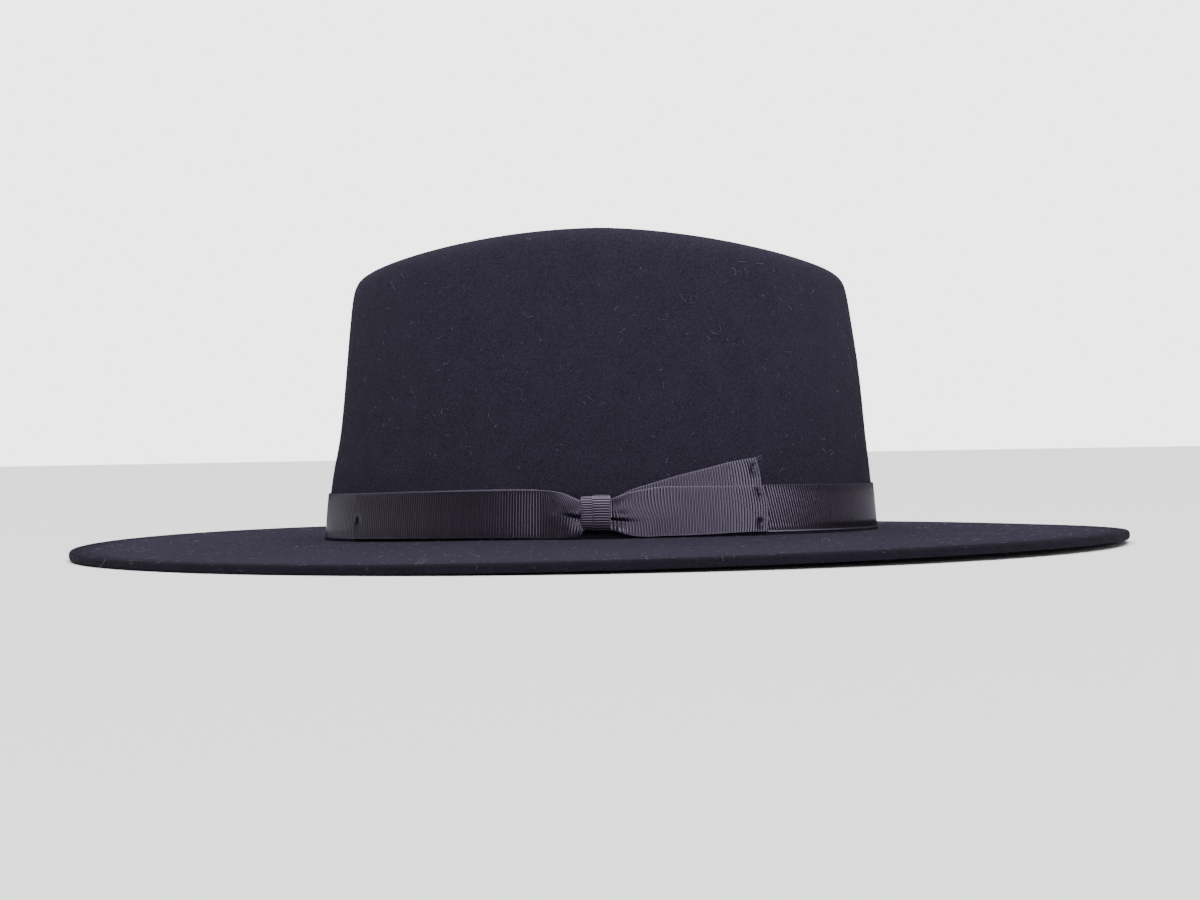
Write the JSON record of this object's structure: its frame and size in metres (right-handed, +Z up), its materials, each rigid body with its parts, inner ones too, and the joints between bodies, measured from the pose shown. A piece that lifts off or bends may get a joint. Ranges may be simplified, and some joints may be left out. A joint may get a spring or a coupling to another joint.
{
  "type": "flat-brim felt hat",
  "caption": "Felt hat with a wide flat brim, an oval crown creased in its top, a ribbed ribbon band and a flat bow on the wearer's left, resting on its brim.",
  "frame": {"origin": "on the surface that the brim rests on, under the middle of the brim", "axes": "+X towards the back of the hat, along the brim's longest way; -Y the wearer's left, the side of the bow; +Z up"},
  "size_m": [0.3854, 0.3518, 0.1121],
  "materials": {
    "felt": "fine brushed wool felt, near-black navy, matte",
    "ribbon": "ribbed grosgrain, near-black navy, soft sheen"
  },
  "bodies": {
    "root": {"felt_body": "felt", "hat_band": "ribbon", "bow_left_loop": "ribbon", "bow_right_loop": "ribbon", "bow_tail": "ribbon", "bow_knot": "ribbon"}
  },
  "joints": []
}
